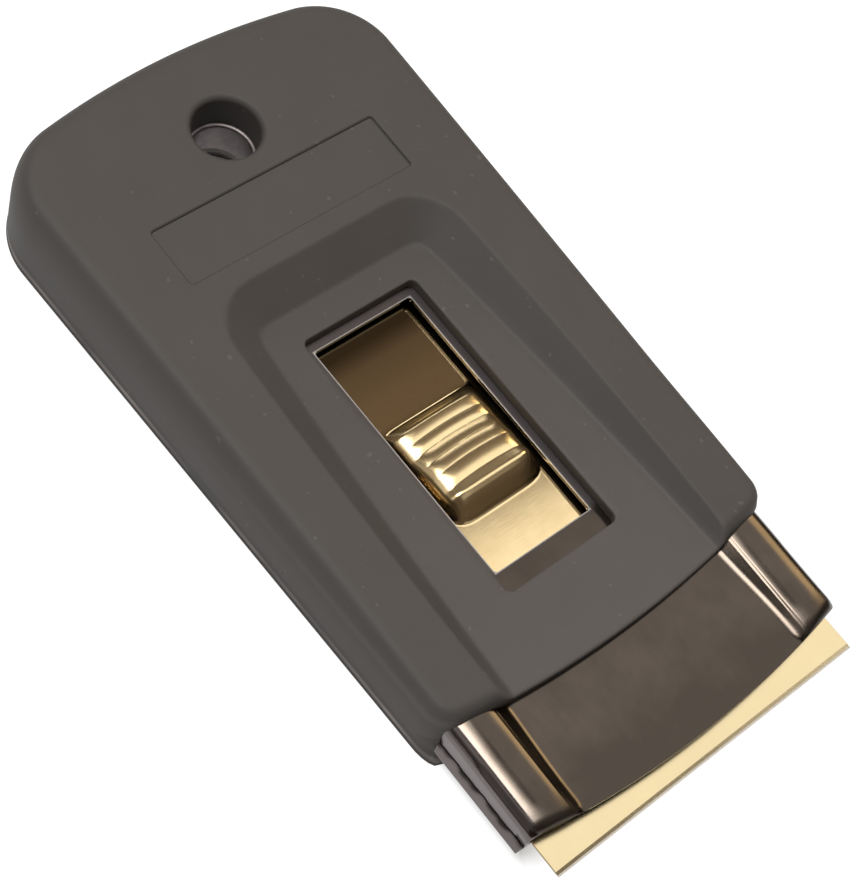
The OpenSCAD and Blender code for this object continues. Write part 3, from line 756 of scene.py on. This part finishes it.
def sleeve_rings(plan, s):
    """Rings round the sleeve from the edge of its top grid over the shoulder and down to its back."""
    points, inward, radii, lengths, (rear_middle, front_middle) = sleeve_outline(s)
    left, front, right, rear = plan[0], plan[:, -1], plan[-1, ::-1], plan[::-1, 0]
    wide = right[0, 1]

    def along(x):
        return mix(rear_middle, front_middle, (x - rear[0, 0]) / (front[0, 0] - rear[0, 0]))

    ahead = lengths >= front_middle
    corner_y = np.interp(front_middle, lengths, points[:, 1])
    lines = [0, *crease_lines(front[0, 0], s), wide]
    lip_lines = [0, *crease_lines(SLEEVE_HI[0] - 0.6, s), corner_y]
    lip_y = np.interp(np.abs(front[:, 1]), lines, lip_lines)
    to_front = np.interp(lip_y, points[ahead, 1][::-1], lengths[ahead][::-1])
    to_front[[0, -1]] = front_middle
    edge = [
        (left, along(left[:, 0])),
        (front, to_front),
        (right, along(right[:, 0])),
        (rear, rear_middle * np.abs(rear[:, 1]) / wide),
    ]
    start = np.concatenate([line[:-1] for line, _ in edge])
    place = np.concatenate([lengths_along[:-1] for _, lengths_along in edge])

    def at(values):
        return np.interp(place, lengths, values)

    flip = np.stack([np.ones(len(start)), np.where(start[:, 1] < 0, -1, 1)], 1)
    outline = np.stack([at(points[:, 0]), at(points[:, 1])], 1) * flip
    inwards = np.stack([at(inward[:, 0]), at(inward[:, 1])], 1) * flip
    radius = at(radii)[:, None]

    # A shoulder is a quarter of a squarish oval, taller than wide except along the thin front lip.
    taller = mix(1.7, 2.6, np.abs(inwards[:, 1]))
    thick = ease((radius[:, 0] - s.front_lip) / (s.front_shoulder - s.front_lip))
    depth = radius[:, 0] * mix(1, taller, thick)
    squareness = 2 / 3

    def on_top(spot, drop=0):
        return at_height(spot, sleeve_height(spot[:, 0], spot[:, 1], s) - drop)

    def shoulder(angle):
        inset = s.band_step + s.wall_batter + radius * (1 - math.cos(angle) ** squareness)
        return on_top(outline + inwards * inset, depth * (1 - math.sin(angle) ** squareness))

    quarter = math.pi / 2
    inner = shoulder(quarter)[:, :2]
    rings = [on_top(mix(start, inner, t)) for t in np.linspace(0, 1, 9)[:-1]]
    rings += [shoulder(quarter * (1 - ease(t))) for t in np.linspace(0, 1, 21)]
    step = s.band_step
    toe_spread = 2.2
    toe = s.base_toe * np.exp(-(((place - front_middle) / toe_spread) ** 2))
    toe = np.outer(toe, [1, 0])
    for inset, z in (
        (step, s.band_height + 6 * step),
        (step, s.band_height + 1.6 * step),
        (0.75 * step, s.band_height + 1.15 * step),
        (0.2 * step, s.band_height + 0.6 * step),
        (0, s.band_height),
    ):
        rings.append(at_height(outline + inwards * inset + toe, z))
    for a in quarter_turn(5):
        spot = outline + inwards * s.back_edge * (1 - math.cos(a)) + toe
        rings.append(at_height(spot, s.back_edge * (1 - math.sin(a))))
    return np.array(rings)


def pocket_tool(name, outline, depth, rim, surface):
    """Tool for a pocket of a given depth, whose upper edge is rounded where it meets the surface.

    The outline is its rear end, front end, half width and corner radius."""

    def ring(grow, z):
        plan = slot_ring(*outline, grow)
        return at_height(plan, surface(plan[:, 0]) + z)

    rings = [ring(0, -depth)]
    for a in quarter_turn(5):
        rings.append(ring(rim * (1 - math.cos(a)), rim * (math.sin(a) - 1) + RIM_LIFT * math.sin(a)))
    rings.append(ring(rim, 3))
    return lay_tube(name, rings)


def hole_tool(s, bore):
    """Tool for the hang hole, flared where it meets the back and the sloping land."""
    radius, rim = bore + s.hole_margin, s.hole_rim

    def ring(r, z, tilted):
        plan = round_ring(r)
        return at_height(plan, land_height(plan[:, 0], s) + z if tilted else z)

    flare = [
        (radius + rim * (1 - math.cos(a)), rim * (1 - math.sin(a)) - RIM_LIFT * math.sin(a))
        for a in quarter_turn(8)
    ]
    rings = [ring(radius + rim, -1, False)]
    rings += [ring(r, z, False) for r, z in reversed(flare)]
    rings += [ring(r, -z, True) for r, z in flare]
    rings.append(ring(radius + rim, 1, True))
    return lay_tube("hang_hole_tool", rings)


def case_half(c, rise, flare, foot_z, grow=0.0, crown=0.0):
    """Half of the top shell's outer section, from the middle of the panel to the foot of the wall."""
    wall, panel = CASE_HI[1] + grow, c.panel_height + grow
    lean = math.tan(math.atan2(rise, c.ridge_slope - flare) / 2)
    foot = CASE_HI[1] - c.sheet - c.ridge_width + flare - lean * c.sheet
    brow = CASE_HI[1] - c.sheet - c.ridge_width + c.ridge_slope - lean * c.sheet
    path = rounded(
        [
            (0, panel),
            (foot, panel),
            (brow, panel + rise),
            (wall, panel + rise - c.ridge_fall),
            (wall, foot_z),
        ],
        [c.foot_radius, c.brow_radius, c.shoulder_radius],
    )
    top_end = 2 * (ROUND_STEPS + 1) + 1
    top = np.linspace(path[top_end - 1], path[top_end], 10)[1:-1]
    path = np.concatenate([path[:top_end], top, path[top_end:]])
    y = (path[:, 0] - brow) / (wall - brow)
    path[:, 1] += crown * np.clip(4 * y * (1 - y), 0, 1) * (path[:, 1] > panel + rise * 0.5)
    floor = np.linspace(0, path[1][0], 16)[:-1]
    return np.concatenate([np.stack([floor, np.full_like(floor, panel)], 1), path[1:]])


def both_sides(half):
    """A half section and its mirror image, from the right foot to the left one."""
    return np.concatenate([half[::-1], half[1:] * [-1, 1]])


def cavity_tool(s, c):
    """Tool for the space that the case takes up in the sleeve."""
    lip = BACK_HI[2] + s.fit
    half = case_half(c, c.ridge_rise, 0, lip, s.fit, c.ridge_crown)
    side, low = BACK_HI[1] + s.fit, BACK_LO[2] - s.fit
    section = both_sides(np.concatenate([half, [(side, mix(low, lip, 0.1)), (side, low)]]))
    ends = (CASE_LO[0] - s.fit, SLEEVE_HI[0] + 5)
    return lay_tube("cavity_tool", [np.column_stack([np.full(len(section), x), section]) for x in ends])


def sleeve_plan(s):
    """Plan of the grid inside the shoulders, which lies close along the recess's floor and brink."""
    fall = land_height(s.recess_rear, s) - s.recess_height
    brink_x = s.recess_rear - recess_draft(s.recess_rear, s) * fall
    xs = close_stations(GRID_REAR, brink_x, s.recess_rear, GRID_FRONT, 0.6, 0.5)
    floor, brink = crease_lines(0, s)
    half = close_stations(0, floor, brink, GRID_SIDE, 0.8, 0.3)
    columns = []
    for x in xs:
        y = np.interp(half, [0, floor, brink, GRID_SIDE], [0, *crease_lines(x, s), GRID_SIDE])
        y = np.concatenate([-y[:0:-1], y])
        columns.append(np.column_stack([np.full_like(y, x), y]))
    return np.stack(columns, axis=1)


class SCRAPER_OT_sleeve(ScraperOperator, bpy.types.Operator):
    """Models the soft rubber sleeve with its thumb recess, window, bare panel and hang hole"""

    bl_idname = "scraper.sleeve"
    bl_label = "Rubber sleeve"

    def execute(self, context):
        s, c = in_mm(context.scene.scraper_sleeve), in_mm(context.scene.scraper_case)
        plan = sleeve_plan(s)
        top = lay_grid("sleeve_rubber", np.dstack([plan, sleeve_height(plan[..., 0], plan[..., 1], s)]))
        skirt = lay_rings("sleeve_skirt", sleeve_rings(plan, s))
        take(top)
        skirt.select_set(True)
        bpy.ops.object.join()
        close_up(top)
        cut(top, cavity_tool(s, c))
        window = pocket_tool(
            "window_tool",
            (s.window_rear, s.window_front, s.window_side, s.window_corner),
            s.recess_height - c.panel_height + 0.3,
            s.window_rim,
            lambda x: np.full_like(x, s.recess_height),
        )
        cut(top, window)
        label = pocket_tool(
            "label_tool",
            (s.label_rear, s.label_front, s.label_side, 0.3),
            s.label_depth,
            s.label_rim,
            lambda x: land_height(x, s),
        )
        cut(top, label)
        cut(top, hole_tool(s, c.eyelet_bore))
        flange = round_ring(EYELET_HI[1] + s.fit)
        punch(top, "flange_tool", flange, EYELET_LO[2] - s.fit, EYELET_HI[2] + s.fit)
        finish = rubber_finish(context.scene.scraper_finishes)
        settle(top, "handle", "grip_rubber", finish, "grip_sleeve")
        return {"FINISHED"}


def eyelet_hole(c):
    """Plan of the shells' hole for the eyelet's tube."""
    return round_ring(c.eyelet_bore + c.eyelet_wall, 64)


def nose_shift(x, y, c):
    """How far along the case a point of a shell moves, so that its front follows the nose's arc."""
    radius = bulge_radius(CASE_HI[1], c.nose_bulge)
    arc = np.sqrt(radius**2 - y**2) - radius
    return arc * ease((x - NOSE_START) / (CASE_HI[0] - NOSE_MARGIN - NOSE_START))


class SCRAPER_OT_top_shell(ScraperOperator, bpy.types.Operator):
    """Models the stamped top shell: sunken panel, two ridges that round off at the nose, and walls"""

    bl_idname = "scraper.top_shell"
    bl_label = "Top shell"

    def execute(self, context):
        c = in_mm(context.scene.scraper_case)
        mouth = CASE_HI[0] - c.mouth_length
        sleeve_front = SLEEVE_HI[0] - 2
        rows = []
        for x in stations((CASE_LO[0], NOSE_START, 6), (NOSE_START, mouth, 0.8)):
            t = ease((x - sleeve_front) / (mouth - sleeve_front))
            rows.append((x, mix(c.ridge_rise, c.nose_rise, t), c.ridge_flare * t, c.ridge_crown))
        for a in quarter_turn(10)[1:]:
            rise = mix(c.mouth_rise, c.nose_rise, math.cos(a))
            crown = c.ridge_crown * math.cos(a)
            rows.append((mouth + c.mouth_length * math.sin(a), rise, c.ridge_flare, crown))
        grid = []
        for x, rise, flare, crown in rows:
            section = both_sides(case_half(c, rise, flare, CASE_LO[2], crown=crown))
            shift = nose_shift(x, section[:, 0], c)
            grid.append(np.column_stack([x + shift, section]))
        shell = lay_grid("case_top_shell", grid)
        modify(shell, "SOLIDIFY", thickness=c.sheet, offset=-1, use_even_offset=True)
        heights = (c.panel_height - 1.5, c.panel_height + 1.5)
        window = slot_ring(c.window_rear, c.window_front, c.window_side, c.window_corner)
        punch(shell, "metal_window_tool", window, *heights)
        punch(shell, "eyelet_tool", eyelet_hole(c), *heights)
        round_edges(shell, c.edge_round)
        middle = (c.window_rear + c.window_front) / 2
        reach = (c.window_front - c.window_rear) / 2
        finish = plating_finish(context.scene.scraper_finishes, (middle, reach, c.window_side))
        settle(shell, "handle", "dark_plating", finish, "case_upper")
        return {"FINISHED"}


class SCRAPER_OT_back_shell(ScraperOperator, bpy.types.Operator):
    """Models the flat back shell, whose long edges are crimped up round the top shell"""

    bl_idname = "scraper.back_shell"
    bl_label = "Back shell"

    def execute(self, context):
        c = in_mm(context.scene.scraper_case)
        side, low, lip = BACK_HI[1], BACK_LO[2], BACK_HI[2]
        inner, heel = side - c.sheet, mix(low, lip, 0.1)
        outside = rounded(
            [(-inner, lip), (-side, heel), (-side, low), (side, low), (side, heel), (inner, lip)],
            [0.1, 0.05, 0.05, 0.1],
        )
        inside = np.array([(inner, low + c.sheet), (-inner, low + c.sheet)])
        section = np.concatenate([outside, inside])
        lipped = np.clip((section[:, 1] - low) / (lip - low), 0, 1)
        lipped *= np.abs(section[:, 0]) > inner - 0.01
        rings = []
        for x in stations((CASE_LO[0], NOSE_START, 6), (NOSE_START, CASE_HI[0], 0.25)):
            ripple = math.sin(1.3 * x) + 0.8 * math.sin(2.9 * x + 1) + 0.4 * math.sin(6.1 * x + 2)
            ring = np.column_stack([x + nose_shift(x, section[:, 0], c), section])
            ring[:, 2] -= c.crimp_wave * (2 + np.sign(section[:, 0]) * ripple) * lipped
            rings.append(ring)
        shell = lay_tube("case_back_shell", rings)
        punch(shell, "eyelet_tool", eyelet_hole(c), low - 1, low + 1.2)
        round_edges(shell, c.edge_round)
        settle(shell, "handle", "dark_plating", bpy.data.materials["dark_nickel"], "case_lower")
        return {"FINISHED"}


class SCRAPER_OT_eyelet(ScraperOperator, bpy.types.Operator):
    """Spins the tubular eyelet that lines the hang hole"""

    bl_idname = "scraper.eyelet"
    bl_label = "Hang eyelet"

    def execute(self, context):
        c = in_mm(context.scene.scraper_case)
        bore, tube, flange = c.eyelet_bore, c.eyelet_bore + c.eyelet_wall, EYELET_HI[1]
        low, high, thick = EYELET_LO[2], EYELET_HI[2], c.eyelet_flange
        half = rounded(
            [(tube, 0), (tube, thick), (flange, thick), (flange, 0), (bore, 0), (bore, 1)],
            [0.1, 0.12, 0.12, 0.3],
            steps=5,
        )[1:-1]
        profile = np.concatenate([half + [0, low], half[::-1] * [1, -1] + [0, high]])
        bpy.ops.object.select_all(action="DESELECT")
        bpy.ops.mesh.primitive_circle_add(vertices=len(profile))
        lining = context.object
        lining.name = lining.data.name = "eyelet_lining"
        points = np.column_stack([HANG_X + profile[:, 0], np.zeros(len(profile)), profile[:, 1]])
        lining.data.vertices.foreach_set("co", points.astype(np.float32).ravel())
        bpy.ops.object.mode_set(mode="EDIT")
        bpy.ops.mesh.select_all(action="SELECT")
        bpy.ops.mesh.spin(steps=96, angle=2 * math.pi, center=(HANG_X, 0, 0), axis=(0, 0, 1))
        bpy.ops.object.mode_set(mode="OBJECT")
        close_up(lining)
        finish = lining_finish(context.scene.scraper_finishes)
        settle(lining, "handle", "dark_plating", finish, "hang_eyelet")
        return {"FINISHED"}


# Heights along the middle of the dome: distance from its rear end, height above the plate.
DOME_LINE = (
    (-1, 0), (-0.1, 0), (0.25, 0.1), (0.9, 0.68), (1.35, 1.0), (2.55, 1.1),
    (3.85, 1.13), (5.15, 1.5), (6.55, 1.79), (8.3, 1.84), (9.3, 2.13), (9.6, 2.1),
    (10, 1.88), (10.5, 1.42), (11, 0.88), (11.6, 0.22), (11.85, 0), (14, 0),
)
# Where one rib of the dome meets the next, from its rear end.
RIB_CREASES = (0.9, 2.55, 3.85, 5.15, 6.55, 8.3)


def dome_height(x, y, d):
    """Height of the ribbed thumb dome above the slide's plate."""
    fine = np.linspace(DOME_LINE[0][0], DOME_LINE[-1][0], 1501)
    line = np.interp(fine, *np.transpose(DOME_LINE))
    # Two running means soften the corners of the line.
    for width in (25, 21):
        line = np.convolve(np.pad(line, width // 2, mode="edge"), np.ones(width) / width, mode="valid")
    along = x - d.dome_rear
    u = y / d.dome_side
    # The ends of the ribs lead their middles, and the front corners draw back.
    bent = along - d.rib_bow * u * u * ease((along - 0.5) / 2) * (1 - ease((along - 8) / 2))
    bent += d.front_round * u**8 * ease((along - 8.5) / 1.5)
    ribs = np.zeros_like(along)
    for start, end in zip(RIB_CREASES, RIB_CREASES[1:]):
        ribs += np.sin(math.pi * np.clip((bent - start) / (end - start), 0, 1)) ** 0.8
    pillow = np.maximum(0, 1 - np.abs(u) ** d.dome_fullness)
    ribs *= d.rib_height * (1 - ease((np.abs(u) - 0.5) / 0.42))
    return np.interp(bent, fine, line) * pillow + ribs


class SCRAPER_OT_slide(ScraperOperator, bpy.types.Operator):
    """Models the brass slide with its ribbed thumb dome"""

    bl_idname = "scraper.slide"
    bl_label = "Brass slide"

    def execute(self, context):
        d = in_mm(context.scene.scraper_slide)
        side = SLIDE_HI[1] - d.sheet
        margin, ramp = 0.6, 0.6
        xs = stations(
            (SLIDE_LO[0], d.dome_rear - margin, 1.2),
            (d.dome_rear - margin, d.dome_front + margin, 0.06),
            (d.dome_front + margin, d.step_at, 1.2),
            (d.step_at, d.step_at + ramp, 0.1),
            (d.step_at + ramp, SLIDE_HI[0], 0.8),
        )
        fine = stations((0, 4, 0.25), (4, 5.7, 0.06), (5.7, side, 1.2))
        ys = np.concatenate([fine[::-1], -fine[1:]])
        y, x = np.meshgrid(ys, xs)
        step = d.sheet * ease((x - d.step_at) / ramp)
        z = d.plate_height + step + dome_height(x, y, d)
        plate = lay_grid("thumb_slide", np.stack([x, y, z], axis=2))
        runner_rise = SLIDE_HI[2] - 0.75 - d.plate_height
        take(plate)
        bpy.ops.object.mode_set(mode="EDIT")
        for sign in (-1, 1):
            bpy.ops.mesh.select_mode(type="EDGE")
            bpy.ops.mesh.select_all(action="DESELECT")
            bpy.ops.object.mode_set(mode="OBJECT")
            for edge in plate.data.edges:
                ends = [plate.data.vertices[v].co for v in edge.vertices]
                edge.select = all(abs(p.y - sign * side) < 1e-3 and p.x < d.step_at for p in ends)
            bpy.ops.object.mode_set(mode="EDIT")
            bpy.ops.mesh.extrude_edges_move(TRANSFORM_OT_translate={"value": (0, 0, runner_rise)})
        bpy.ops.object.mode_set(mode="OBJECT")
        modify(plate, "SOLIDIFY", thickness=d.sheet, offset=-1)
        finish = brass_finish(context.scene.scraper_finishes)
        settle(plate, "slide", "carrier_brass", finish, "blade_carrier")
        return {"FINISHED"}


class SCRAPER_OT_blade(ScraperOperator, bpy.types.Operator):
    """Gives the blade, its spine, the spring and the rivets their finishes"""

    bl_idname = "scraper.blade"
    bl_label = "Blade and spring"

    def execute(self, context):
        look = context.scene.scraper_finishes
        coated, steel = blade_finish(look), steel_finish(look)
        for node, finish in (
            ("razor_blade", coated),
            ("blade_spine", coated),
            ("detent_spring", steel),
            ("rivet_left", steel),
            ("rivet_right", steel),
        ):
            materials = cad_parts[node].data.materials
            materials.clear()
            materials.append(finish)
        return {"FINISHED"}


def softbox(name, place, size, radiance, colour=(1, 1, 1), target=(0, 0, 0)):
    """A rectangular area light of a given brightness, turned towards a target."""
    place, target = Vector(place), Vector(target)
    turn = (target - place).to_track_quat("-Z", "Y").to_euler()
    bpy.ops.object.light_add(type="AREA", location=place, rotation=turn)
    light = bpy.context.object
    light.name = name
    light.data.shape = "RECTANGLE"
    light.data.size, light.data.size_y = size
    light.data.energy = radiance * math.pi * size[0] * size[1]
    light.data.color = colour


def floor_finish(look):
    """Pale floor that reads as white to the camera and in reflections, and keeps a soft shadow."""
    material, place = begin("studio_floor")
    tree = material.node_tree
    rays = tree.nodes.new("ShaderNodeLightPath").outputs
    seen = Wire(tree, rays["Is Camera Ray"])
    for ray in ("Is Glossy Ray", "Is Transmission Ray"):
        seen = seen.greatest(Wire(tree, rays[ray]))
    along, across, _ = place.axes()
    outside = abs(along).clamp_mm(37, 41).greatest(abs(across).clamp_mm(18, 20))
    matte = place.node("ShaderNodeBsdfDiffuse", {"Color": (*look.floor, 1)})
    glow = place.node("ShaderNodeEmission", {"Color": (1, 1, 1, 1), "Strength": 1.22})
    both = place.node("ShaderNodeMixShader", {0: 0.8 * seen * outside, 1: matte, 2: glow})
    tree.links.new(both.socket, tree.nodes["Material Output"].inputs["Surface"])
    tree.nodes.remove(tree.nodes["Principled BSDF"])
    return material


class SCRAPER_OT_stage(ScraperOperator, bpy.types.Operator):
    """Sets the floor, the lamps, the world and the camera"""

    bl_idname = "scraper.stage"
    bl_label = "Studio stage"

    def execute(self, context):
        scene = context.scene
        bpy.ops.object.select_all(action="DESELECT")
        bpy.ops.mesh.primitive_plane_add(size=3, location=(0, 0, -0.0001))
        floor = context.object
        floor.name = "studio_floor"
        bpy.ops.object.transform_apply(location=True, rotation=True, scale=True)
        floor.data.materials.append(floor_finish(scene.scraper_finishes))

        softbox("key_light", (-0.14, -0.10, 0.70), (0.40, 0.40), 5.5)
        softbox("key_core", (-0.06, -0.11, 0.70), (0.22, 0.22), 8.5)
        softbox("top_light", (0.06, 0.27, 0.46), (0.30, 0.34), 1.1)
        softbox("side_card", (-0.1, -0.46, 0.3), (0.6, 0.45), 0.27)
        softbox("side_strip", (-0.03, -0.40, 0.40), (0.20, 0.30), 0.5, target=(0.03, 0, 0))
        softbox("brown_card", (-0.225, 0.27, 0.50), (0.25, 0.34), 0.03, (1, 0.74, 0.58))
        softbox("rear_card", (-0.48, 0.28, 0.24), (0.3, 0.12), 1.6)
        softbox("front_card", (0.45, 0.15, 0.40), (0.30, 0.25), 0.35)
        softbox("warm_card", (-0.02, 0.48, 0.33), (0.25, 0.14), 4.2, (1, 0.8, 0.48), (0.03, 0, 0.005))

        world = scene.world or bpy.data.worlds.new("studio")
        scene.world = world
        world.use_nodes = True
        world.node_tree.nodes["Background"].inputs["Color"].default_value = (0.085, 0.066, 0.056, 1)

        bpy.ops.object.camera_add(
            location=(0.051823, -0.093421, 0.173896),
            rotation=[math.radians(a) for a in (28.6966, -13.1726, 50.4511)],
        )
        camera = context.object
        camera.name = "photo_camera"
        camera.data.lens = 86.388
        camera.data.clip_start = 0.01
        scene.camera = camera
        scene.view_settings.view_transform = "Standard"
        return {"FINISHED"}


class SCRAPER_PT_panel(bpy.types.Panel):
    """Lists the scraper's sizes, finishes and pieces"""

    bl_label = "Razor Blade Scraper"
    bl_idname = "SCRAPER_PT_panel"
    bl_space_type = "VIEW_3D"
    bl_region_type = "UI"
    bl_category = "Scraper"

    def draw(self, context):
        for operator in OPERATORS:
            self.layout.operator(operator.bl_idname)
        for group in GROUPS:
            owner = getattr(context.scene, group)
            column = self.layout.column(align=True)
            column.label(text=owner.__doc__)
            for name in owner.__annotations__:
                column.prop(owner, name)


GROUPS = {
    "scraper_sleeve": SleeveSizes,
    "scraper_case": CaseSizes,
    "scraper_slide": SlideSizes,
    "scraper_finishes": Finishes,
}
OPERATORS = (
    SCRAPER_OT_sleeve,
    SCRAPER_OT_top_shell,
    SCRAPER_OT_back_shell,
    SCRAPER_OT_eyelet,
    SCRAPER_OT_slide,
    SCRAPER_OT_blade,
    SCRAPER_OT_stage,
)
CLASSES = (*GROUPS.values(), *OPERATORS, SCRAPER_PT_panel)


def register():
    """Adds the groups, operators and panel to Blender."""
    for cls in CLASSES:
        bpy.utils.register_class(cls)
    for name, group in GROUPS.items():
        setattr(bpy.types.Scene, name, PointerProperty(type=group))


def unregister():
    """Takes them away again."""
    for name in GROUPS:
        delattr(bpy.types.Scene, name)
    for cls in reversed(CLASSES):
        bpy.utils.unregister_class(cls)


def main():
    """Builds the scraper and its stage."""
    register()
    for operator in OPERATORS:
        module, name = operator.bl_idname.split(".")
        getattr(getattr(bpy.ops, module), name)()


if __name__ == "__main__":
    main()
